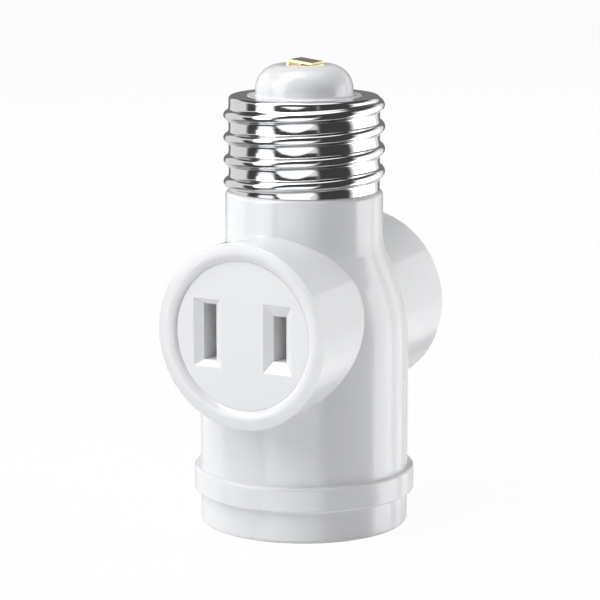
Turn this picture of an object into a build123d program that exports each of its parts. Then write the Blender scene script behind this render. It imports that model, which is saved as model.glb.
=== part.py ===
from build123d import *
import os

# Lamp socket adapter: a screw base on top, a lamp socket below and an outlet on two sides.
# Millimetres. The origin is the centre of the mouth rim, +Z runs up the screw axis,
# the front outlet faces -Y and the hot side is +X.

# Screw thread, rolled with a round crest
thread_r = 13.1
thread_depth = 0.85
thread_pitch = 3.629
crest_round = 1.05
thread_gap = 0.3

# Base shell
base_wall = 0.3
base_len = 15.4
base_edge = 0.12
base_thread_rise = 1.25
base_thread_fall = 1.5
base_thread_angle = 203.0
seam_angle = 175.0
lip_width = 2.8
lip_round = 0.6
spigot_gap = 0.1

# Lamp socket shell
socket_wall = 0.35
socket_len = 18.8
socket_thread_len = 11.6
socket_thread_rise = 2.2
socket_thread_fall = 1.9
socket_thread_angle = 40.0
socket_step_h = 0.4
socket_round = 0.55
socket_recess = 6.0
socket_room = 0.35

# Housing, round about the screw axis
body_wall = 3.0
mouth_round = 0.6
collar_proud = 1.04
collar_z = 5.3
collar_h = 4.1
collar_round = 0.45
collar_foot_round = 0.15
shoulder_rise = 1.58
shoulder_len = 10.62
shoulder_low_round = 27.0
shoulder_high_round = 5.2
neck_proud = 0.58
neck_len = 8.6
neck_round = 0.8
spigot_wall = 1.55
spigot_cap = 2.0
spigot_round = 0.7
nose_r = 7.95
nose_len = 5.0
nose_round = 4.0
nose_wall = 1.95
nose_bore_round = 2.2
nose_foot_gap = 0.15
nose_foot_edge = 0.1
nose_foot_round = 0.35

# Outlets
outlet_rise = 6.6
boss_r = 15.0
boss_proud = 3.9
rim_width = 3.0
rim_roll = 1.3
rim_edge_roll = 1.5
rim_edge_drop = 0.15
face_sink = 0.7
face_t = 2.5
face_gap = 0.03
face_round = 0.05
seat_width = 1.2
passage_step = 0.9
blade_pitch = 12.7
slot_w = 2.3
neutral_slot_h = 9.1
hot_slot_h = 7.3
funnel_w = 5.1
funnel_h = 11.05
funnel_depth = 0.9
sleeve_wall = 0.75
sleeve_len = 2.8

# Contact block
block_t = 2.7
block_gap = 0.1
block_seat = 1.2
block_boss_h = 1.6
block_boss_gap = 0.6
barrier_t = 1.6
barrier_h = 12.5
barrier_end_gap = 1.2

# Brass strips
strip_t = 0.35
strip_w = 4.2
strip_bend = 0.5
tab_bend = 0.28
tab_x = -1.925
tab_end_x = 2.45
tab_rise = 0.72
tab_rest_gap = 0.05
nose_slot_gap = 0.08
lip_leg_inset = 0.5
lip_leg_len = 1.3
lip_slot_gap = 0.25
hot_jog_drop = 3.0
jog_len = 6.5
jog_clear = 2.5
foot_end = 1.9
foot_wall_gap = 1.15

# Spring jaws
jaw_t = 0.4
jaw_h = 8.0
jaw_bend = 1.0
jaw_end_gap = 0.7
jaw_pad_y = 3.0
jaw_bow_y = 6.5
jaw_pinch_y = 10.5
jaw_bow_gap = 2.6
jaw_pinch_gap = 1.1
jaw_mouth_gap = 3.8

# Rivets and screws
hole_gap = 0.05
jaw_rivet_r = 0.7
jaw_rivet_head_r = 1.3
jaw_rivet_head_h = 0.5
jaw_rivet_pitch = 4.0
leaf_rivet_x = 4.0
leaf_rivet_r = 0.8
leaf_rivet_head_r = 1.5
leaf_rivet_head_h = 0.6
rivet_edge = 0.35
screw_r = 1.25
screw_head_r = 2.05
screw_head_h = 1.4
screw_head_round = 0.6
screw_len = 11.0
screw_slot_w = 0.6
screw_slot_depth = 0.7
screw_head_gap = 0.3
flange_land = 0.15
pillar_r = 2.2
pillar_gap = 0.225
pillar_len = 10.5
pilot_spare = 0.6
rib_t = 2.4

# Centre contact
leaf_t = 0.4
leaf_w = 5.0
leaf_bend = 0.7
leaf_tail = 2.2
leaf_bend_x = -4.8
leaf_fold = 1.5
leaf_drop = 1.2
leaf_pad_x = 1.9
button_r = 1.9
button_h = 1.8
button_round = 1.2
button_stem_r = 0.8
button_head_r = 1.3
button_head_h = 0.45

# Heights, from the mouth up
socket_thread_top_z = socket_recess + socket_thread_len
flange_z = socket_recess + socket_len
block_top_z = flange_z + block_t
outlet_z = block_top_z + outlet_rise
shoulder_low_z = outlet_z + shoulder_rise
shoulder_high_z = shoulder_low_z + shoulder_len
neck_top_z = shoulder_high_z + neck_len
lip_top_z = neck_top_z + base_len
spigot_top_z = lip_top_z - base_wall
nose_top_z = lip_top_z + nose_len
collar_top_z = collar_z + collar_h

# Radii, from the thread out
root_r = thread_r - thread_depth
crest_centre_r = thread_r - crest_round
lip_r = root_r - lip_width
nose_foot_r = lip_r - nose_foot_gap
spigot_r = root_r - base_wall - spigot_gap
neck_r = root_r + neck_proud
neck_bore_r = spigot_r - spigot_wall
socket_minor_r = root_r + thread_gap
socket_outer_r = thread_r + thread_gap + socket_wall
bore_r = socket_outer_r + socket_room
body_r = bore_r + body_wall
collar_r = body_r + collar_proud
chamber_r = bore_r - block_seat
chamber_top_z = shoulder_high_z - (chamber_r - neck_bore_r) * shoulder_len / (body_r - neck_r)
nose_bore_r = nose_r - nose_wall
block_r = bore_r - block_gap
lip_leg_x = lip_leg_inset - neck_bore_r

# Distances from the screw axis to the outlets
boss_y = body_r + boss_proud
face_y = boss_y - face_sink
seat_y = face_y - face_t
sleeve_y = seat_y - sleeve_len
face_bore_r = boss_r - rim_width
face_r = face_bore_r - face_gap
passage_r = face_bore_r - seat_width
blade_x = blade_pitch / 2

# Screws stand clear of the jaws, and the socket shell's crown takes in their heads
screw_x = blade_x + strip_t / 2 + jaw_t + jaw_rivet_head_h + pillar_gap + pillar_r
socket_crown_r = screw_x + screw_head_r + screw_head_gap
flange_hole_r = screw_x - screw_head_r - flange_land
block_boss_r = flange_hole_r - block_boss_gap

os.makedirs("parts", exist_ok=True)


def save(piece, name):
    piece.label = name
    export_step(piece, f"parts/{name}.step")


def turned(corners):
    # Solid of revolution about Z. Each corner is (radius, height, rounding).
    with BuildPart() as body:
        with BuildSketch(Plane.XZ):
            with BuildLine():
                points = [(r, z) for r, z, _ in corners]
                FilletPolyline(*points, radius=[rounding for _, _, rounding in corners], close=True)
            make_face()
        revolve(axis=Axis.Z)
    return body.part


def thread_bead(bead_r, start_z, end_z, start_angle):
    # Round bar along the thread's helix, with domed ends.
    with BuildPart() as bead:
        with BuildLine() as path:
            Helix(thread_pitch, end_z - start_z, crest_centre_r)
        with BuildSketch(Plane(path.line @ 0, z_dir=path.line % 0)):
            Circle(bead_r)
        sweep(is_frenet=True)
        with Locations(path.line @ 0, path.line @ 1):
            Sphere(bead_r)
    return bead.part.moved(Location((0, 0, start_z), (0, 0, start_angle)))


def strip(points, bends, thickness, width):
    # Flat strip bent in the XZ plane along its centre line, symmetric about that plane.
    with BuildPart() as band:
        with BuildSketch(Plane.XZ):
            with BuildLine():
                FilletPolyline(*points, radius=bends)
            trace(line_width=thickness)
        extrude(amount=width / 2, both=True)
    return band.part


# Housing: one moulding with nose, spigot, neck, shoulder, outlet bosses, skirt and collar
housing_outside = turned(
    [
        (0, 0, 0),
        (body_r, 0, mouth_round),
        (body_r, collar_z, collar_foot_round),
        (collar_r, collar_z, collar_round),
        (collar_r, collar_top_z, collar_round),
        (body_r, collar_top_z, collar_foot_round),
        (body_r, shoulder_low_z, shoulder_low_round),
        (neck_r, shoulder_high_z, shoulder_high_round),
        (neck_r, neck_top_z, neck_round),
        (spigot_r, neck_top_z, 0),
        (spigot_r, spigot_top_z, spigot_round),
        (nose_foot_r, spigot_top_z, 0),
        (nose_foot_r, lip_top_z, nose_foot_edge),
        (nose_r, lip_top_z, nose_foot_round),
        (nose_r, nose_top_z, nose_round),
        (0, nose_top_z, 0),
    ]
)
housing_inside = turned(
    [
        (0, 0, 0),
        (bore_r, 0, 0),
        (bore_r, block_top_z, 0),
        (chamber_r, block_top_z, 0),
        (chamber_r, chamber_top_z, 0),
        (neck_bore_r, shoulder_high_z, 0),
        (neck_bore_r, spigot_top_z - spigot_cap, 0),
        (nose_bore_r, spigot_top_z - spigot_cap, 0),
        (nose_bore_r, nose_top_z - nose_wall, nose_bore_round),
        (0, nose_top_z - nose_wall, 0),
    ]
)

with BuildPart() as housing:
    add(housing_outside)
    with BuildSketch(Plane.XZ):
        with Locations((0, outlet_z)):
            Circle(boss_r)
    extrude(amount=boss_y, both=True)
    add(housing_inside, mode=Mode.SUBTRACT)

    # Way through from outlet to outlet, with a flat floor above the block
    with BuildSketch(Plane.XZ):
        with Locations((0, outlet_z)):
            Circle(passage_r)
        with Locations((0, block_top_z + passage_step)):
            Rectangle(2 * boss_r, 2 * boss_r, align=(Align.CENTER, Align.MIN), mode=Mode.INTERSECT)
    extrude(amount=seat_y, both=True, mode=Mode.SUBTRACT)

    # Seats for the outlet faces, and the rims that roll down to face and boss wall
    for rim_plane in (Plane.XZ.offset(boss_y), Plane.XZ.offset(-boss_y)):
        inward = -1 if rim_plane.origin.Y < 0 else 1
        with BuildSketch(rim_plane):
            with Locations((0, outlet_z)):
                Circle(face_bore_r)
        extrude(amount=inward * (boss_y - seat_y), mode=Mode.SUBTRACT)
    for side in (-1, 1):
        for crest_r, foot_r, foot_y, away in (
            (face_bore_r + rim_roll, face_bore_r, face_y, -1),
            (boss_r - rim_edge_roll, boss_r, boss_y - rim_edge_drop, 1),
        ):
            clear_r = foot_r + away * rim_edge_drop
            crest = (side * boss_y, outlet_z + crest_r)
            foot = (side * foot_y, outlet_z + foot_r)
            with BuildSketch(Plane.YZ):
                with BuildLine():
                    TangentArc(crest, foot, tangent=(0, away))
                    Polyline(
                        foot,
                        (side * foot_y, outlet_z + clear_r),
                        (side * boss_y, outlet_z + clear_r),
                        crest,
                    )
                make_face()
            revolve(axis=Axis((0, 0, outlet_z), (0, 1, 0)), mode=Mode.SUBTRACT)

    # Screw pillars with ribs: the neutral one stops on the strip's foot
    for side, foot in ((1, 0), (-1, strip_t)):
        with BuildSketch(Plane.XY.offset(block_top_z + foot)):
            with Locations((side * screw_x, 0)):
                Circle(pillar_r)
            with Locations((side * (screw_x + chamber_r + block_seat) / 2, 0)):
                Rectangle(chamber_r + block_seat - screw_x, rib_t)
        extrude(amount=pillar_len - foot)
        with Locations((side * screw_x, 0, block_top_z)):
            Cylinder(
                screw_r + hole_gap / 2,
                flange_z - socket_wall + screw_len + pilot_spare - block_top_z,
                align=(Align.CENTER, Align.CENTER, Align.MIN),
                mode=Mode.SUBTRACT,
            )

    # Slot for the hot strip in the nose
    with Locations((tab_x, 0, nose_top_z)):
        Box(
            strip_t + 2 * nose_slot_gap,
            strip_w + 2 * nose_slot_gap,
            4 * nose_wall,
            mode=Mode.SUBTRACT,
        )

    # Slot and recess for the neutral strip under the base shell's lip
    with Locations((lip_leg_x, 0, spigot_top_z)):
        Box(
            strip_t + 2 * lip_slot_gap,
            strip_w + 2 * lip_slot_gap,
            2 * spigot_cap + spigot_gap,
            mode=Mode.SUBTRACT,
        )
        Box(
            lip_leg_len + lip_slot_gap,
            strip_w + 2 * lip_slot_gap,
            2 * strip_t,
            align=(Align.MAX, Align.CENTER, Align.CENTER),
            mode=Mode.SUBTRACT,
        )
save(housing.part, "housing")


# Outlet faces: slotted discs with sleeves that lead the blades to the jaws
def outlet_face(front):
    # Plane at the seat whose normal points out of the outlet and whose x runs along +X or -X.
    out = Plane.XZ if front else Plane(Plane.XZ.origin, x_dir=(-1, 0, 0), z_dir=(0, 1, 0))
    hot_x = blade_x if front else -blade_x
    slots = ((hot_x, hot_slot_h), (-hot_x, neutral_slot_h))
    with BuildPart() as face:
        with BuildSketch(out.offset(seat_y)):
            with Locations((0, outlet_z)):
                Circle(face_r)
        extrude(amount=face_t)
        fillet(face.faces().sort_by(Axis.Y)[0 if front else -1].edges(), face_round)
        with BuildSketch(out.offset(seat_y)):
            for x, slot_h in slots:
                with Locations((x, outlet_z)):
                    Rectangle(slot_w + 2 * sleeve_wall, slot_h + 2 * sleeve_wall)
        extrude(amount=-sleeve_len)
        with BuildSketch(out.offset(face_y)):
            for x, slot_h in slots:
                with Locations((x, outlet_z)):
                    Rectangle(slot_w, slot_h)
        extrude(amount=-face_t - sleeve_len, mode=Mode.SUBTRACT)
        for x, slot_h in slots:
            with BuildSketch(out.offset(face_y)) as mouth:
                with Locations((x, outlet_z)):
                    Rectangle(funnel_w, funnel_h)
            with BuildSketch(out.offset(face_y - funnel_depth)) as throat:
                with Locations((x, outlet_z)):
                    Rectangle(slot_w, slot_h)
            loft(mode=Mode.SUBTRACT)
    return face.part


save(outlet_face(True), "outlet_face_front")
save(outlet_face(False), "outlet_face_rear")

# Base shell: rolled screw shell whose lip is turned in over the spigot. The thread starts
# at seam_angle from the seam of the round wall, and the finished shell is turned into place.
base_thread = (neck_top_z + base_thread_rise, lip_top_z - base_thread_fall, seam_angle)
base_outside = turned(
    [
        (0, neck_top_z, 0),
        (root_r, neck_top_z, base_edge),
        (root_r, lip_top_z, lip_round),
        (0, lip_top_z, 0),
    ]
)
base_inside = turned(
    [
        (0, neck_top_z, 0),
        (root_r - base_wall, neck_top_z, 0),
        (root_r - base_wall, spigot_top_z, lip_round - base_wall),
        (0, spigot_top_z, 0),
    ]
)
base_bead = thread_bead(crest_round, *base_thread)
base_groove = thread_bead(crest_round - base_wall, *base_thread)

with BuildPart() as base_shell:
    add(base_outside)
    add(base_bead)
    add(base_inside, mode=Mode.SUBTRACT)
    add(base_groove, mode=Mode.SUBTRACT)
    with Locations((0, 0, lip_top_z)):
        Cylinder(lip_r, 4 * base_wall, mode=Mode.SUBTRACT)
save(base_shell.part.rotate(Axis.Z, base_thread_angle - seam_angle), "base_shell")

# Lamp socket shell: rolled screw shell, drawn in above the thread and flanged for its two screws
socket_thread = (
    socket_recess + socket_thread_rise,
    socket_thread_top_z - socket_thread_fall,
    socket_thread_angle,
)


def socket_form(wall):
    # The shell's outline, with a wall of no thickness for its inside.
    return turned(
        [
            (0, socket_recess, 0),
            (socket_minor_r + wall, socket_recess, 0),
            (socket_minor_r + wall, socket_thread_top_z, 0),
            (socket_crown_r + wall, socket_thread_top_z + socket_step_h, 0),
            (socket_crown_r + wall, flange_z - socket_wall + wall, socket_round - socket_wall + wall),
            (0, flange_z - socket_wall + wall, 0),
        ]
    )


socket_outside = socket_form(socket_wall)
socket_inside = socket_form(0)
socket_bead = thread_bead(crest_round + thread_gap + socket_wall, *socket_thread)
socket_groove = thread_bead(crest_round + thread_gap, *socket_thread)

with BuildPart() as socket_shell:
    add(socket_outside)
    add(socket_bead)
    add(socket_inside, mode=Mode.SUBTRACT)
    add(socket_groove, mode=Mode.SUBTRACT)
    with Locations((0, 0, flange_z)):
        Cylinder(flange_hole_r, 4 * socket_wall, mode=Mode.SUBTRACT)
    with Locations((screw_x, 0, flange_z), (-screw_x, 0, flange_z)):
        Cylinder(screw_r + hole_gap, 4 * socket_wall, mode=Mode.SUBTRACT)
save(socket_shell.part, "socket_shell")

# Contact block: insulating disc with a barrier between the hot and neutral sides
with BuildPart() as contact_block:
    with BuildSketch(Plane.XY.offset(flange_z)):
        Circle(block_r)
    extrude(amount=block_t)
    with BuildSketch(Plane.XY.offset(flange_z)):
        Circle(block_boss_r)
    extrude(amount=-block_boss_h)
    with BuildSketch(Plane.XY.offset(block_top_z)):
        Rectangle(barrier_t, 2 * (chamber_r - barrier_end_gap))
    extrude(amount=barrier_h)
    with Locations((screw_x, 0, block_top_z), (-screw_x, 0, block_top_z)):
        Hole(screw_r + hole_gap)
    with Locations((leaf_rivet_x, 0, block_top_z)):
        Hole(leaf_rivet_r + hole_gap)
save(contact_block.part, "contact_block")

# Strips: brass, folded, from the screw base down past the jaws to the lamp socket
foot_z = block_top_z + strip_t / 2
jog_end_z = block_top_z + barrier_h + jog_clear
jaw_rivet_heights = (outlet_z - jaw_rivet_pitch / 2, outlet_z + jaw_rivet_pitch / 2)


def drilled(blank, x, foot_hole_x, foot_hole_r):
    # Strip with its two jaw rivet holes and the hole in its foot.
    with BuildPart() as piece:
        add(blank)
        with Locations(*[Location((x, 0, z), (0, 90, 0)) for z in jaw_rivet_heights]):
            Cylinder(jaw_rivet_r + hole_gap, 4 * strip_t, mode=Mode.SUBTRACT)
        with Locations((foot_hole_x, 0, foot_z)):
            Cylinder(foot_hole_r + hole_gap, 4 * strip_t, mode=Mode.SUBTRACT)
    return piece.part


hot_blank = strip(
    [
        (tab_end_x, nose_top_z + tab_rest_gap + strip_t / 2),
        (tab_x, nose_top_z + tab_rise),
        (tab_x, jog_end_z + hot_jog_drop + jog_len),
        (blade_x, jog_end_z + hot_jog_drop),
        (blade_x, foot_z),
        (leaf_rivet_x - foot_end, foot_z),
    ],
    [tab_bend, strip_bend, strip_bend, strip_bend],
    strip_t,
    strip_w,
)
save(drilled(hot_blank, blade_x, leaf_rivet_x, leaf_rivet_r), "hot_strip")

neutral_blank = strip(
    [
        (lip_leg_x - lip_leg_len, spigot_top_z - strip_t / 2),
        (lip_leg_x, spigot_top_z - strip_t / 2),
        (lip_leg_x, jog_end_z + jog_len),
        (-blade_x, jog_end_z),
        (-blade_x, foot_z),
        (foot_wall_gap - chamber_r, foot_z),
    ],
    [tab_bend, strip_bend, strip_bend, strip_bend],
    strip_t,
    strip_w,
)
save(drilled(neutral_blank, -blade_x, -screw_x, screw_r), "neutral_strip")

# Spring jaws: each runs through from outlet to outlet and is pinched behind either slot
jaw_end_y = sleeve_y - jaw_end_gap


def jaw(side, out):
    # side is +1 on the hot side, out is +1 for the jaw further from the screw axis.
    stations = [
        (strip_t, jaw_pad_y),
        (jaw_bow_gap, jaw_bow_y),
        (jaw_pinch_gap, jaw_pinch_y),
        (jaw_mouth_gap, jaw_end_y),
    ]
    half = [(side * (blade_x + out * (gap + jaw_t) / 2), y) for gap, y in stations]
    points = [(x, -y) for x, y in reversed(half)] + half
    with BuildPart() as piece:
        with BuildSketch(Plane.XY.offset(outlet_z - jaw_h / 2)):
            with BuildLine():
                FilletPolyline(*points, radius=jaw_bend)
            trace(line_width=jaw_t)
        extrude(amount=jaw_h)
        with Locations(*[Location((side * blade_x, 0, z), (0, 90, 0)) for z in jaw_rivet_heights]):
            Cylinder(jaw_rivet_r + hole_gap, 4 * jaw_t + strip_t, mode=Mode.SUBTRACT)
    return piece.part


save(jaw(1, -1), "hot_jaw_inner")
save(jaw(1, 1), "hot_jaw_outer")
save(jaw(-1, -1), "neutral_jaw_inner")
save(jaw(-1, 1), "neutral_jaw_outer")


# Rivets: plain shanks with a low domed head at each end
def rivet(shank_r, grip, head_r, head_h):
    # Stands on Z with its grip centred on the origin.
    corners = [
        (0, -grip / 2 - head_h, 0),
        (head_r, -grip / 2 - head_h, rivet_edge),
        (head_r, -grip / 2, 0),
        (shank_r, -grip / 2, 0),
        (shank_r, grip / 2, 0),
        (head_r, grip / 2, 0),
        (head_r, grip / 2 + head_h, rivet_edge),
        (0, grip / 2 + head_h, 0),
    ]
    return turned(corners)


jaw_rivet = rivet(jaw_rivet_r, strip_t + 2 * jaw_t, jaw_rivet_head_r, jaw_rivet_head_h)
for name, x in (("hot_jaw_rivets", blade_x), ("neutral_jaw_rivets", -blade_x)):
    with BuildPart() as jaw_rivets:
        with Locations(*[Location((x, 0, z), (0, 90, 0)) for z in jaw_rivet_heights]):
            add(jaw_rivet)
    save(jaw_rivets.part, name)

leaf_root_z = flange_z - block_boss_h - leaf_t
leaf_rivet_grip = block_top_z + strip_t - leaf_root_z
leaf_rivet = rivet(leaf_rivet_r, leaf_rivet_grip, leaf_rivet_head_r, leaf_rivet_head_h)
with BuildPart() as centre_contact_rivet:
    with Locations((leaf_rivet_x, 0, leaf_root_z + leaf_rivet_grip / 2)):
        add(leaf_rivet)
save(centre_contact_rivet.part, "centre_contact_rivet")

# Centre contact: a hairpin leaf and the button on its free end
leaf_line_z = leaf_root_z + leaf_t / 2
tongue_z = leaf_line_z - leaf_fold - leaf_drop
leaf_blank = strip(
    [
        (leaf_rivet_x + leaf_tail, leaf_line_z),
        (leaf_bend_x, leaf_line_z),
        (leaf_bend_x, leaf_line_z - leaf_fold),
        (-leaf_pad_x, tongue_z),
        (leaf_tail, tongue_z),
    ],
    leaf_bend,
    leaf_t,
    leaf_w,
)
with BuildPart() as centre_contact_leaf:
    add(leaf_blank)
    with Locations((leaf_rivet_x, 0, leaf_line_z)):
        Cylinder(leaf_rivet_r + hole_gap, 2 * leaf_t, mode=Mode.SUBTRACT)
    with Locations((0, 0, tongue_z)):
        Cylinder(button_stem_r + hole_gap, 2 * leaf_t, mode=Mode.SUBTRACT)
save(centre_contact_leaf.part, "centre_contact_leaf")

button_seat_z = tongue_z - leaf_t / 2
button_top_z = tongue_z + leaf_t / 2
centre_contact_button = turned(
    [
        (0, button_seat_z - button_h, 0),
        (button_r, button_seat_z - button_h, button_round),
        (button_r, button_seat_z, 0),
        (button_stem_r, button_seat_z, 0),
        (button_stem_r, button_top_z, 0),
        (button_head_r, button_top_z, 0),
        (button_head_r, button_top_z + button_head_h, button_head_h / 2),
        (0, button_top_z + button_head_h, 0),
    ]
)
save(centre_contact_button, "centre_contact_button")

# Socket screws: slotted pan heads inside the lamp socket
screw_seat_z = flange_z - socket_wall
socket_screw = turned(
    [
        (0, screw_seat_z - screw_head_h, 0),
        (screw_head_r, screw_seat_z - screw_head_h, screw_head_round),
        (screw_head_r, screw_seat_z, 0),
        (screw_r, screw_seat_z, 0),
        (screw_r, screw_seat_z + screw_len, 0),
        (0, screw_seat_z + screw_len, 0),
    ]
)
with BuildPart() as socket_screws:
    with Locations((screw_x, 0, 0), (-screw_x, 0, 0)):
        add(socket_screw)
    with Locations(
        (screw_x, 0, screw_seat_z - screw_head_h),
        (-screw_x, 0, screw_seat_z - screw_head_h),
    ):
        Box(screw_slot_w, 2 * screw_head_r, 2 * screw_slot_depth, mode=Mode.SUBTRACT)
save(socket_screws.part, "socket_screws")
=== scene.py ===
import math

import bmesh
import bpy
import numpy as np
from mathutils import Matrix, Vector


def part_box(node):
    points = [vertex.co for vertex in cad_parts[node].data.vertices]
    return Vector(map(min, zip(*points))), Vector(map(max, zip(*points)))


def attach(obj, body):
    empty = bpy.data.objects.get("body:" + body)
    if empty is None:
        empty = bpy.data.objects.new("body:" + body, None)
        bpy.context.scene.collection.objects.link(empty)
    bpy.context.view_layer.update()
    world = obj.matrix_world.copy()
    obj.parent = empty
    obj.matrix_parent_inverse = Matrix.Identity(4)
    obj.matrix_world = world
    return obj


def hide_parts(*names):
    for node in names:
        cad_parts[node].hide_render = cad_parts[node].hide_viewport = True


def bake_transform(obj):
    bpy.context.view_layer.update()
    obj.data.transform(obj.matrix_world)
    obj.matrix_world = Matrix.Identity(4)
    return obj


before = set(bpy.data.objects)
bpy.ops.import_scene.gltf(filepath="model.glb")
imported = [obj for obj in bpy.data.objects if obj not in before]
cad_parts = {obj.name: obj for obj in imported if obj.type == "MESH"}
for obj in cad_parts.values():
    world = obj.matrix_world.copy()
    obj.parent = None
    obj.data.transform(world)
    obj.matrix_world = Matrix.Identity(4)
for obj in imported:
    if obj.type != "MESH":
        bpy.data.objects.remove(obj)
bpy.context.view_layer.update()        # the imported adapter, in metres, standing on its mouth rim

mm = 0.001
weldDistance = 2e-6                  # m, points nearer than this become one
arcSteps = 24                        # points on each rounded corner of a line
plainWhite = (1, 1, 1, 1)
print("frame loaded:", len(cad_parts), "nodes")


# small helpers

def linearColour(hexText):
    # sRGB hex to linear: each channel by the sRGB curve
    channels = [int(hexText[i:i + 2], 16) / 255 for i in (1, 3, 5)]
    return (*[c / 12.92 if c <= 0.04045 else ((c + 0.055) / 1.055) ** 2.4 for c in channels], 1.0)


def addNode(tree, kind, values=None, links=None, **settings):
    node = tree.nodes.new(kind)
    for name, value in settings.items():
        setattr(node, name, value)
    for socket, value in (values or {}).items():
        node.inputs[socket].default_value = value
    for socket, source in (links or {}).items():
        tree.links.new(source, node.inputs[socket])
    return node


def newMaterial(name):
    material = bpy.data.materials.new(name)
    material.use_nodes = True
    material.node_tree.nodes.clear()
    return material, material.node_tree


def gridMesh(name, points, closeRows, closeColumns):
    # quads between neighbouring points of a grid, wrapped round where a direction is closed
    rows, columns = points.shape[:2]
    i = np.arange(rows if closeRows else rows - 1)[:, None]
    j = np.arange(columns if closeColumns else columns - 1)[None, :]
    nextI, nextJ = (i + 1) % rows, (j + 1) % columns
    corners = [i * columns + j, nextI * columns + j, nextI * columns + nextJ, i * columns + nextJ]
    quads = np.stack(corners, axis=-1).reshape(-1, 4)
    mesh = bpy.data.meshes.new(name)
    mesh.from_pydata(points.reshape(-1, 3).tolist(), [], quads.tolist())
    mesh.polygons.foreach_set("use_smooth", np.full(len(quads), True))
    mesh.update()
    piece = bpy.data.objects.new(name, mesh)
    bpy.context.scene.collection.objects.link(piece)
    return piece


def weld(piece):
    # points in the same place become one, and faces with no area go
    cage = bmesh.new()
    cage.from_mesh(piece.data)
    bmesh.ops.remove_doubles(cage, verts=cage.verts, dist=weldDistance)
    cage.to_mesh(piece.data)
    cage.free()


def smoothStep(t):
    # from 0 to 1 with a soft start and end: three times t squared, less two times t cubed
    t = np.clip(t, 0, 1)
    return t * t * (3 - 2 * t)


def roundedLine(corners, spacing):
    # a line through (x, y, radius) corners, each corner an arc of that radius, in even steps
    xy = np.array([corner[:2] for corner in corners], float)
    line = [xy[:1]]
    for k in range(1, len(corners) - 1):
        back, ahead = xy[k - 1] - xy[k], xy[k + 1] - xy[k]
        back, ahead = back / np.linalg.norm(back), ahead / np.linalg.norm(ahead)
        half = math.acos(np.clip(back @ ahead, -1, 1)) / 2
        reach = corners[k][2] / math.tan(half)
        centre = xy[k] + (back + ahead) / np.linalg.norm(back + ahead) * corners[k][2] / math.sin(half)
        first, last = xy[k] + back * reach - centre, xy[k] + ahead * reach - centre
        turn = math.pi - 2 * half
        t = np.linspace(0, 1, arcSteps)[:, None]
        line.append(centre + (np.sin((1 - t) * turn) * first + np.sin(t * turn) * last) / math.sin(turn))
    line = np.concatenate(line + [xy[-1:]])
    travelled = np.concatenate([[0], np.cumsum(np.linalg.norm(np.diff(line, axis=0), axis=1))])
    stops = np.linspace(0, travelled[-1], int(round(travelled[-1] / spacing)) + 1)
    return np.stack([np.interp(stops, travelled, line[:, axis]) for axis in (0, 1)], axis=-1)


# camera at the photograph's viewpoint

cameraView = {
    "position": (200.309, -364.283, 115.513),        # mm from the centre of the mouth rim
    "heading": 28.9,                                 # degrees, to the left of +Y
    "pitch": 10.749,                                 # degrees, down
    "lens": 154.94,                                  # mm
    "sensor": 36.0,                                  # mm
    "nearest": 0.02,                                 # m, what is nearer or farther isn't drawn
    "farthest": 30.0,
}
cameraData = bpy.data.cameras.new("photoCamera")
cameraData.sensor_width = cameraView["sensor"]
cameraData.lens = cameraView["lens"]
cameraData.clip_start = cameraView["nearest"]
cameraData.clip_end = cameraView["farthest"]
camera = bpy.data.objects.new("photoCamera", cameraData)
camera.location = Vector(cameraView["position"]) * mm
camera.rotation_euler = (
    math.radians(90 - cameraView["pitch"]), 0, math.radians(cameraView["heading"])
)
bpy.context.scene.collection.objects.link(camera)
bpy.context.scene.camera = camera
bpy.context.scene.view_settings.view_transform = "Standard"
print("camera set")


# studio: pale floor, a room of light and dark bands, soft lamps, and light and dark cards to mirror

studio = {
    "floorRadius": 4.0,              # m
    "floorRings": 9,
    "floorColumns": 96,
    "floorColour": "#f0f0f0",
    "floorWhite": 0.96,              # share of plain white that the camera sees
    "ambient": 0.10,                 # the room as a light, against how it looks
    # degrees up and radiance: floor glow, grey band, white walls, dark ring, top light
    "room": (
        (-90, 0.9), (-66, 0.9), (-58, 0.32), (-32, 0.32), (-22, 1.0),
        (24, 1.0), (33, 0.08), (58, 0.08), (66, 1.8), (90, 1.8),
    ),
    "aim": (0, 0, 0.045),            # m, what lamps and cards face, just above the object's middle
    "cardAway": 0.36,                # m
    "cardStep": 0.004,               # m, each next card is that much nearer
    "cardGrid": 48,                  # points each way
    "fadeRound": 8.0,                # degrees over which a card's sides are soft
    "fadeUp": 2.0,                   # and its upper and lower edges
    # degrees round from the camera, right positive, from and to; degrees up, from and to; arch; radiance
    "cards": {
        "rightCard": (16, 78, -60, 60, 0, 0.07),
        "frontDark": (-44, 24, 0, 60, 0, 0.07),
        "leftCard": (-100, -30, -50, 16, 0, 0.07),
        "frontCard": (-47, 20, -66, 9, 32, 1.6),
        "windowCard": (-77, -43, -18, 52, 3, 1.6),
        "windowHigh": (-79, -44, -5, 52, 3, 3.2),
        "farCard": (100, 139, -41, 20, 0, 2.1),
        "brightCard": (77, 114, -41, 20, 0, 3.8),
        "rearLow": (146, 214, -60, -4, 0, 0.80),
        "rearCard": (146, 214, -9, 45, 0, 0.22),
    },
    # degrees round, degrees up, metres out, width, height, radiance, mirrored or not
    "lamps": {
        "keyLamp": (-66, 38, 0.70, 0.36, 0.74, 4.5, True),
        "topLamp": (-85, 72, 0.70, 0.45, 0.45, 2.4, True),
        "frontLamp": (-12, 58, 0.70, 0.50, 0.35, 0.8, False),
        "rightLamp": (98, 16, 0.70, 0.40, 0.50, 3.2, False),
        "rightRim": (146, 12, 0.80, 0.20, 0.70, 3.0, False),
        "leftRim": (-146, 12, 0.80, 0.20, 0.70, 1.4, False),
        "rearLamp": (180, 34, 0.80, 0.50, 0.40, 1.0, True),
    },
}
cameraAngle = math.atan2(camera.location.y, camera.location.x)


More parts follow.
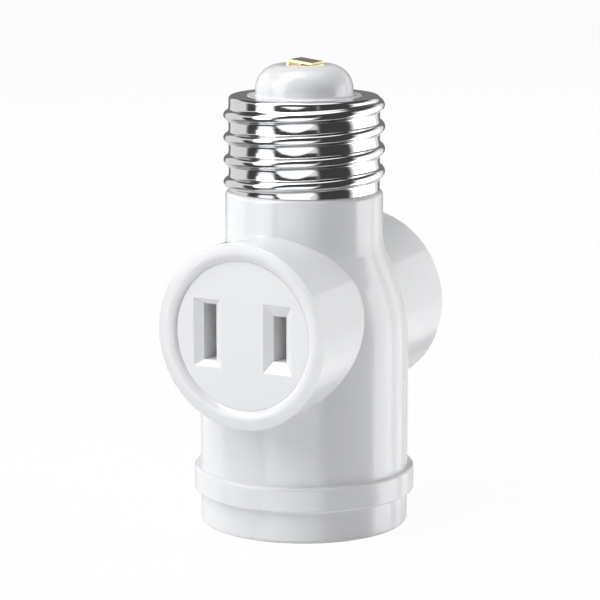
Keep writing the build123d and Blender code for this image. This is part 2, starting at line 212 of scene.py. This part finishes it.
def aroundObject(degrees, rise, away):
    # a point that many degrees round from the camera and up, as seen from the aim
    angle, lift = cameraAngle + math.radians(degrees), math.radians(rise)
    flat = away * math.cos(lift)
    offset = Vector((flat * math.cos(angle), flat * math.sin(angle), away * math.sin(lift)))
    return Vector(studio["aim"]) + offset


def seenRays(tree):
    # 1 for camera, mirror and glass rays
    path = addNode(tree, "ShaderNodeLightPath")
    mirror = addNode(tree, "ShaderNodeMath", operation="MAXIMUM", links={
        0: path.outputs["Is Camera Ray"], 1: path.outputs["Is Glossy Ray"]})
    return addNode(tree, "ShaderNodeMath", operation="MAXIMUM", links={
        0: mirror.outputs[0], 1: path.outputs["Is Transmission Ray"]}).outputs[0]


def makeWorld(settings):
    # the room by height; as a light it is dimmer than it looks
    world = bpy.data.worlds.new("studioRoom")
    bpy.context.scene.world = world
    world.use_nodes = True
    tree = world.node_tree
    tree.nodes.clear()
    where = addNode(tree, "ShaderNodeTexCoord")
    split = addNode(tree, "ShaderNodeSeparateXYZ", links={0: where.outputs["Generated"]})
    upward = addNode(tree, "ShaderNodeMapRange", {"From Min": -1.0, "From Max": 1.0},
                     {"Value": split.outputs["Z"]})
    ramp = addNode(tree, "ShaderNodeValToRGB", links={0: upward.outputs[0]})
    stops = ramp.color_ramp.elements
    brightest = max(radiance for _, radiance in settings["room"])
    for _ in range(len(settings["room"]) - len(stops)):
        stops.new(0.5)        # anywhere, since each stop gets its place below
    for stop, (rise, radiance) in zip(stops, settings["room"]):
        stop.position = (1 + math.sin(math.radians(rise))) / 2
        stop.color = (*[radiance / brightest] * 3, 1)
    level = addNode(tree, "ShaderNodeMapRange", {
        "To Min": settings["ambient"] * brightest, "To Max": brightest}, {"Value": seenRays(tree)})
    room = addNode(tree, "ShaderNodeBackground", links={
        "Color": ramp.outputs["Color"], "Strength": level.outputs[0]})
    addNode(tree, "ShaderNodeOutputWorld", links={"Surface": room.outputs[0]})


def makeFloor(settings):
    # a flat disc: radius by angle
    radius = np.linspace(0, settings["floorRadius"], settings["floorRings"])[:, None]
    angle = np.linspace(0, 2 * math.pi, settings["floorColumns"], endpoint=False)[None, :]
    points = np.stack([radius * np.cos(angle), radius * np.sin(angle), 0 * radius * angle], axis=-1)
    floor = gridMesh("floor", points[::-1], False, True)
    material, tree = newMaterial("studio paper")
    paper = addNode(tree, "ShaderNodeBsdfDiffuse", {"Color": linearColour(settings["floorColour"])})
    glow = addNode(tree, "ShaderNodeEmission", {"Color": plainWhite, "Strength": 1.0})
    share = addNode(tree, "ShaderNodeMath", {1: settings["floorWhite"]}, {0: seenRays(tree)},
                    operation="MULTIPLY")
    mix = addNode(tree, "ShaderNodeMixShader", links={
        0: share.outputs[0], 1: paper.outputs[0], 2: glow.outputs[0]})
    addNode(tree, "ShaderNodeOutputMaterial", links={"Surface": mix.outputs[0]})
    floor.data.materials.append(material)
    floor.visible_glossy = False        # the metal mirrors the room, as if the object hung in it


def makeCards(settings):
    # curved cards with soft edges, seen by mirror rays only: patches of a sphere, round by up
    for order, (name, (start, end, low, high, arch, radiance)) in enumerate(settings["cards"].items()):
        across = np.linspace(-1, 1, settings["cardGrid"])[:, None]
        rise = np.linspace(low, high, settings["cardGrid"])[None, :]
        halfWide = (end - start) / 2
        angle, lift = cameraAngle + np.radians((start + end) / 2 + across * halfWide), np.radians(rise)
        away = settings["cardAway"] - order * settings["cardStep"]
        points = np.stack([np.cos(lift) * np.cos(angle), np.cos(lift) * np.sin(angle),
                           np.sin(lift) + 0 * angle], axis=-1) * away + np.array(settings["aim"])
        card = gridMesh(name, points, False, False)
        # 1 inside, 0 at the edges; arched edges close in on each other towards the sides
        bow = arch * across ** 2
        cover = smoothStep((1 - np.abs(across)) * halfWide / settings["fadeRound"])
        cover = cover * smoothStep((high - bow - rise) / settings["fadeUp"])
        cover = cover * smoothStep((rise - low - bow) / settings["fadeUp"])
        card.data.attributes.new("cover", "FLOAT", "POINT").data.foreach_set("value", cover.ravel())
        material, tree = newMaterial("card " + name)
        inside = addNode(tree, "ShaderNodeAttribute", attribute_name="cover")
        clear = addNode(tree, "ShaderNodeBsdfTransparent")
        paper = addNode(tree, "ShaderNodeEmission", {"Color": plainWhite, "Strength": radiance})
        mix = addNode(tree, "ShaderNodeMixShader", links={
            0: inside.outputs["Fac"], 1: clear.outputs[0], 2: paper.outputs[0]})
        addNode(tree, "ShaderNodeOutputMaterial", links={"Surface": mix.outputs[0]})
        card.data.materials.append(material)
        card.visible_camera = card.visible_diffuse = card.visible_shadow = False


def makeLamp(name, place, aim, width, height, radiance, mirrored):
    # watts of an area lamp: its radiance over the half sphere, times its area
    data = bpy.data.lights.new(name, "AREA")
    data.shape = "RECTANGLE"
    data.size, data.size_y = width, height
    data.energy = radiance * math.pi * width * height
    lamp = bpy.data.objects.new(name, data)
    lamp.location = place
    lamp.rotation_euler = (aim - place).to_track_quat("-Z", "Y").to_euler()
    lamp.visible_camera = False
    lamp.visible_glossy = mirrored
    bpy.context.scene.collection.objects.link(lamp)


makeWorld(studio)
makeFloor(studio)
makeCards(studio)
for lampName, (degrees, rise, away, *lampSettings) in studio["lamps"].items():
    makeLamp(lampName, aroundObject(degrees, rise, away), Vector(studio["aim"]), *lampSettings)
print("studio set")


# materials: three ways of making a surface, and one dictionary for each finish

mouldDetail = 2.0                    # octaves of noise in a moulding
rollDetail = 3.0                     # and in rolled sheet
noiseSpan = (0.3, 0.7)               # noise keeps mostly to this range, spread over the roughness
wholeSpan = (0.0, 1.0)               # dimples use the whole range


def noisePattern(tree, where, size, detail):
    # soft noise with lumps of that size in mm
    return addNode(tree, "ShaderNodeTexNoise", {"Scale": 1 / (size * mm), "Detail": detail},
                   {"Vector": where}).outputs["Fac"]


def twoColours(tree, first, second, share):
    return addNode(tree, "ShaderNodeMix", {"A": linearColour(first), "B": linearColour(second)},
                   {"Factor": share}, data_type="RGBA").outputs["Result"]


def finishMaterial(tree, settings, colour, relief, reliefHeight, span, body):
    # polish and height both follow the relief: what stands out is duller
    lowest, highest = span
    smooth, rough = settings["roughness"]
    polish = addNode(tree, "ShaderNodeMapRange", {
        "From Min": lowest, "From Max": highest, "To Min": smooth, "To Max": rough}, {"Value": relief})
    bump = addNode(tree, "ShaderNodeBump", {"Strength": 1.0, "Distance": reliefHeight * mm},
                   {"Height": relief})
    surface = addNode(tree, "ShaderNodeBsdfPrincipled", body, {
        "Base Color": colour, "Roughness": polish.outputs[0], "Normal": bump.outputs[0]})
    addNode(tree, "ShaderNodeOutputMaterial", links={"Surface": surface.outputs[0]})


def mouldedPlastic(name, settings):
    # thermoset moulding: an even body with faint flow clouds, under the gloss or grain that the mould left
    material, tree = newMaterial(name)
    where = addNode(tree, "ShaderNodeTexCoord").outputs["Object"]
    cloud = noisePattern(tree, where, settings["cloud"], mouldDetail)
    grain = noisePattern(tree, where, settings["grain"], mouldDetail)
    colour = twoColours(tree, settings["colour"], settings["cloudColour"], cloud)
    finishMaterial(tree, settings, colour, grain, settings["grainHeight"], noiseSpan,
                   {"IOR": settings["ior"]})
    return material


def rolledMetal(name, settings):
    # sheet from the rolls: fine lines that run with the sheet, in polish and height, and a cloudy tarnish
    material, tree = newMaterial(name)
    where = addNode(tree, "ShaderNodeTexCoord").outputs["Object"]
    # across the lines the pattern is as fine as their spacing, along them that many times longer
    stretch = [1 / settings["lineLength"] if along else 1.0 for along in settings["linesAlong"]]
    drawn = addNode(tree, "ShaderNodeMapping", {"Scale": stretch}, {"Vector": where}).outputs[0]
    lines = noisePattern(tree, drawn, settings["line"], rollDetail)
    tarnish = noisePattern(tree, where, settings["tarnish"], rollDetail)
    colour = twoColours(tree, settings["colour"], settings["tarnishColour"], tarnish)
    finishMaterial(tree, settings, colour, lines, settings["lineHeight"], noiseSpan, {"Metallic": 1.0})
    return material


def headedMetal(name, settings):
    # wire headed cold and tumbled: small bright dimples with duller ridges between them
    material, tree = newMaterial(name)
    where = addNode(tree, "ShaderNodeTexCoord").outputs["Object"]
    ridge = addNode(tree, "ShaderNodeTexVoronoi", {"Scale": 1 / (settings["dimple"] * mm)},
                    {"Vector": where}, feature="SMOOTH_F1").outputs["Distance"]
    colour = twoColours(tree, settings["colour"], settings["ridgeColour"], ridge)
    finishMaterial(tree, settings, colour, ridge, settings["dimpleDepth"], wholeSpan, {"Metallic": 1.0})
    return material


# sizes in the finishes are mm; roll marks, dimples and grain are drawn coarser than real ones, to show
glossyUrea = {                       # housing: polished mould, so a hard gloss with a faint orange peel
    "colour": "#f1f2f4", "cloudColour": "#ebecee", "cloud": 14.0,
    "grain": 1.1, "grainHeight": 0.0012, "roughness": (0.05, 0.09), "ior": 1.52,
}
satinUrea = {                        # outlet faces: same white, a little duller from a stoned mould
    "colour": "#eff0f2", "cloudColour": "#eaebed", "cloud": 9.0,
    "grain": 0.5, "grainHeight": 0.0008, "roughness": (0.16, 0.22), "ior": 1.52,
}
mattPhenolic = {                     # contact block: unpolished mould, a chalky grain
    "colour": "#dfddd6", "cloudColour": "#d2cfc6", "cloud": 5.0,
    "grain": 0.25, "grainHeight": 0.008, "roughness": (0.5, 0.65), "ior": 1.6,
}
nickelPlate = {                      # base shell: a clear mirror, plated on brass; marks run round it
    "colour": "#d4d5d6", "tarnishColour": "#cbccce", "tarnish": 6.0,
    "line": 0.12, "lineLength": 40, "linesAlong": (True, True, False), "lineHeight": 0.0002,
    "roughness": (0.07, 0.12),
}
brassStrip = {                       # strips: half-hard brass, a pale satin; marks run down the strip
    "colour": "#e6d9a4", "tarnishColour": "#d6c384", "tarnish": 2.5,
    "line": 0.15, "lineLength": 30, "linesAlong": (True, False, True), "lineHeight": 0.001,
    "roughness": (0.16, 0.28),
}
brassJaw = {                         # jaws: spring brass, deeper yellow; marks run from outlet to outlet
    "colour": "#dcc683", "tarnishColour": "#c4a962", "tarnish": 3.0,
    "line": 0.15, "lineLength": 30, "linesAlong": (False, True, False), "lineHeight": 0.001,
    "roughness": (0.2, 0.32),
}
socketAluminium = {                  # lamp socket shell: a soft grey shine; marks run round the thread
    "colour": "#d3d5d6", "tarnishColour": "#c2c4c6", "tarnish": 4.0,
    "line": 0.16, "lineLength": 40, "linesAlong": (True, True, False), "lineHeight": 0.0008,
    "roughness": (0.2, 0.34),
}
springBronze = {                     # contact leaf: redder than brass; marks run along the leaf
    "colour": "#d3a878", "tarnishColour": "#b98c5c", "tarnish": 2.0,
    "line": 0.12, "lineLength": 30, "linesAlong": (True, False, False), "lineHeight": 0.001,
    "roughness": (0.2, 0.3),
}
brassRivet = {                       # rivets: bare brass wire, a yellow shine broken up by the dimples
    "colour": "#d9c07a", "ridgeColour": "#c2a45c", "dimple": 0.35, "dimpleDepth": 0.006,
    "roughness": (0.2, 0.36),
}
contactNickel = {                    # contact button: warm white plate, brighter than the rivets
    "colour": "#d0cdc6", "ridgeColour": "#c0bcb3", "dimple": 0.4, "dimpleDepth": 0.005,
    "roughness": (0.14, 0.26),
}
screwZinc = {                        # socket screws: bluish zinc on steel, the dullest of the metals
    "colour": "#c3c9d0", "ridgeColour": "#b3b8ae", "dimple": 0.3, "dimpleDepth": 0.006,
    "roughness": (0.24, 0.4),
}
finishes = {
    "glossy white urea": (mouldedPlastic, glossyUrea, ("housing",)),
    "satin white urea": (mouldedPlastic, satinUrea, ("outlet_face_front", "outlet_face_rear")),
    "matt phenolic": (mouldedPlastic, mattPhenolic, ("contact_block",)),
    "bright nickel plate": (rolledMetal, nickelPlate, ("base_shell",)),
    "rolled brass strip": (rolledMetal, brassStrip, ("hot_strip", "neutral_strip")),
    "rolled spring brass": (rolledMetal, brassJaw, (
        "hot_jaw_inner", "hot_jaw_outer", "neutral_jaw_inner", "neutral_jaw_outer")),
    "rolled bright aluminium": (rolledMetal, socketAluminium, ("socket_shell",)),
    "rolled spring bronze": (rolledMetal, springBronze, ("centre_contact_leaf",)),
    "headed brass wire": (headedMetal, brassRivet, (
        "hot_jaw_rivets", "neutral_jaw_rivets", "centre_contact_rivet")),
    "nickel-plated contact": (headedMetal, contactNickel, ("centre_contact_button",)),
    "zinc-plated steel": (headedMetal, screwZinc, ("socket_screws",)),
}
for finishName, (makeFinish, settings, nodeNames) in finishes.items():
    finish = makeFinish(finishName, settings)
    for nodeName in nodeNames:
        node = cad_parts[nodeName]
        node.data.materials.clear()
        node.data.materials.append(finish)
print("finishes set:", len(finishes))


# base shell: thin nickel-plated brass, rolled into a screw thread, its lip turned in over the spigot

baseShell = {
    "wall": 0.3,                     # mm
    "threadDepth": 0.85,             # mm
    "crestRound": 0.85,              # mm, the rolled crest
    "footRound": 0.40,               # mm, the hollow between crest and wall
    "rootHollow": 0.12,              # mm, the wall dips by this between two crests
    "pitch": 3.629,                  # mm, seven turns to the inch
    "threadStart": 203.0,            # degrees round from +X
    "threadRise": 1.25,              # mm from the lower edge to the first crest
    "threadFall": 1.5,               # mm from the last crest to the top of the lip
    "runOut": 40.0,                  # degrees over which the crest dies away at each end
    "lipWidth": 2.8,                 # mm
    "lipRound": 0.6,                 # mm
    "edgeRound": 0.12,               # mm
    "columns": 240,
    "rowsPerTurn": 56,
    "fineSteps": 20,                 # steps to a row, for measuring along the profile
    "spareTurns": 2,                 # turns of rows below the first crest, cut off at the rim
    "spacing": 0.1,                  # mm between points round the lip
    "edgeSteps": 4,                  # points to one rounding of the lower edge
    "insideStep": 3,                 # the inside's points are that many times wider apart
}


def threadProfile(settings, off):
    # how far the wall stands out, by distance from the crest: a round crest, a hollow foot that
    # touches crest and wall, and a wall that dips a little halfway to the next crest
    crest, foot, hollow = settings["crestRound"], settings["footRound"], settings["rootHollow"]
    depth, half = settings["threadDepth"] - hollow, settings["pitch"] / 2
    reach = math.sqrt(depth * (2 * (crest + foot) - depth))
    meet = reach * crest / (crest + foot)
    top = depth - crest + np.sqrt(np.maximum(crest ** 2 - off ** 2, 0))
    side = foot - np.sqrt(np.maximum(foot ** 2 - np.maximum(reach - off, 0) ** 2, 0))
    return np.where(off < meet, top, side) + hollow * np.clip((half - off) / (half - meet), 0, 1) ** 2


def threadSwell(settings, angle, height, start, end):
    # the profile round a crest that climbs one pitch a turn and dies away past both ends
    pitch, fade = settings["pitch"], settings["runOut"] / 360
    fromStart = (angle - math.radians(settings["threadStart"])) / (2 * math.pi)
    turn = np.round((height - start) / pitch - fromStart) + fromStart
    strength = smoothStep((turn + fade) / fade) * smoothStep(((end - start) / pitch + fade - turn) / fade)
    return strength * threadProfile(settings, np.abs(height - start - pitch * turn))


def makeBaseShell(settings):
    # radius and height by row and angle: the rows of the wall climb with the thread, and those of
    # the rims run level
    low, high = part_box("base_shell")
    bottom, top = low.z / mm, high.z / mm
    root = (high.x - low.x) / 2 / mm - settings["threadDepth"]
    wall, lip, edge, pitch = (settings[name] for name in ("wall", "lipRound", "edgeRound", "pitch"))
    hole = root - settings["lipWidth"]
    start, end = bottom + settings["threadRise"], top - settings["threadFall"]
    fromStart = np.linspace(0, 1, settings["columns"] + 1)[None, :]
    angle = math.radians(settings["threadStart"]) + 2 * math.pi * fromStart
    # even steps along one pitch of the profile, repeated turn by turn and cut off level at the rims
    rows = settings["rowsPerTurn"]
    across = np.linspace(-pitch / 2, pitch / 2, settings["fineSteps"] * rows + 1)
    rise = np.hypot(np.diff(across), np.diff(threadProfile(settings, np.abs(across))))
    travelled = np.concatenate([[0], np.cumsum(rise)])
    steps = np.interp(np.linspace(0, travelled[-1], rows, endpoint=False), travelled, across)
    turns = np.arange(-settings["spareTurns"], math.ceil((top - bottom) / pitch) + 1)
    climb = (turns[:, None] * pitch + steps[None, :]).reshape(-1, 1) + pitch * fromStart
    wallZ = np.clip(start + climb, bottom + edge, top - lip)
    lower = roundedLine([
        (root - wall, bottom, 0), (root, bottom, edge), (root, bottom + edge, 0)],
        edge / settings["edgeSteps"])[:, :, None]
    upper = roundedLine([
        (root, top - lip, 0), (root, top, lip), (hole, top, edge), (hole, top - wall / 2, 0)],
        settings["spacing"])[:, :, None]
    inside = roundedLine([
        (hole, top - wall / 2, 0), (hole, top - wall, edge), (root - wall, top - wall, lip - wall),
        (root - wall, bottom, 0)], settings["insideStep"] * settings["spacing"])[:, :, None]
    level = 0 * angle
    radius = np.concatenate([
        lower[:, 0] + level, root + 0 * wallZ, upper[:, 0] + level, inside[:, 0] + level])
    height = np.concatenate([
        lower[:, 1] + level, wallZ, upper[:, 1] + level, inside[:, 1] + level])
    # only the upright wall is rolled: the swell dies out at the lower edge and round the lip
    upright = smoothStep((radius - root + lip) / lip) * smoothStep((height - bottom) / (2 * edge))
    radius = radius + threadSwell(settings, angle, height, start, end) * upright
    points = np.stack([radius * np.cos(angle), radius * np.sin(angle), height], axis=-1) * mm
    shell = gridMesh("screwShell", points[:, ::-1], False, False)
    weld(shell)
    shell.data.materials.append(bpy.data.materials["bright nickel plate"])
    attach(shell, "adapter")
    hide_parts("base_shell")
    return shell


shell = makeBaseShell(baseShell)
print("base shell rolled:", len(shell.data.polygons), "faces")


# centre contact leaf: a hairpin of spring bronze under the button that a bulb presses, drawn in one shape

contactLeaf = {
    "thick": 0.4,                    # mm
    "width": 5.0,                    # mm
    "fixedRun": (6.2, -4.8, 23.0),   # mm: X from, X to, Z of the run riveted to the block
    "fold": 21.5,                    # mm, Z where the hairpin comes back
    "tongue": (-1.9, 2.2, 20.3),     # mm: X from, X to, Z of the free end
    "bend": 0.7,                     # mm, radius of the bends
    "spacing": 0.12,                 # mm between points along the leaf
    "corner": 0.12,                  # mm, rounding of the strip's edges
    "stillAbove": 22.7,              # mm, Z just under the fixed run
    "movesBelow": 20.55,             # mm, Z just over the free end
}


def makeLeaf(settings):
    # a rounded strip carried along its bent centre line: along the line by round the strip
    fixedFrom, fixedTo, fixedZ = settings["fixedRun"]
    tongueFrom, tongueTo, tongueZ = settings["tongue"]
    bend, corner = settings["bend"], settings["corner"]
    line = roundedLine([
        (fixedFrom, fixedZ, 0), (fixedTo, fixedZ, bend), (fixedTo, settings["fold"], bend),
        (tongueFrom, tongueZ, bend), (tongueTo, tongueZ, 0)], settings["spacing"])
    along = np.gradient(line, axis=0)
    along = along / np.linalg.norm(along, axis=1, keepdims=True)
    across = np.stack([-along[:, 1], along[:, 0]], axis=-1)
    halfThick, halfWidth = settings["thick"] / 2, settings["width"] / 2
    section = roundedLine([
        (0, -halfThick, 0), (halfWidth, -halfThick, corner), (halfWidth, halfThick, corner),
        (-halfWidth, halfThick, corner), (-halfWidth, -halfThick, corner), (0, -halfThick, 0)], corner)[:-1]
    # the end rings close on the line's two end points
    size = np.ones(len(line) + 2)
    size[[0, -1]] = 0
    line, across = np.pad(line, ((1, 1), (0, 0)), "edge"), np.pad(across, ((1, 1), (0, 0)), "edge")
    side, lift = section[None, :, 0] * size[:, None], section[None, :, 1] * size[:, None]
    x = line[:, :1] + across[:, :1] * lift
    z = line[:, 1:] + across[:, 1:] * lift
    leaf = gridMesh("contactLeaf", np.stack([x, side, z], axis=-1) * mm, False, True)
    leaf.data.materials.append(bpy.data.materials["rolled spring bronze"])
    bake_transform(leaf)
    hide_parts("centre_contact_leaf")
    return leaf


leaf = makeLeaf(contactLeaf)
print("contact leaf bent:", len(leaf.data.polygons), "faces")
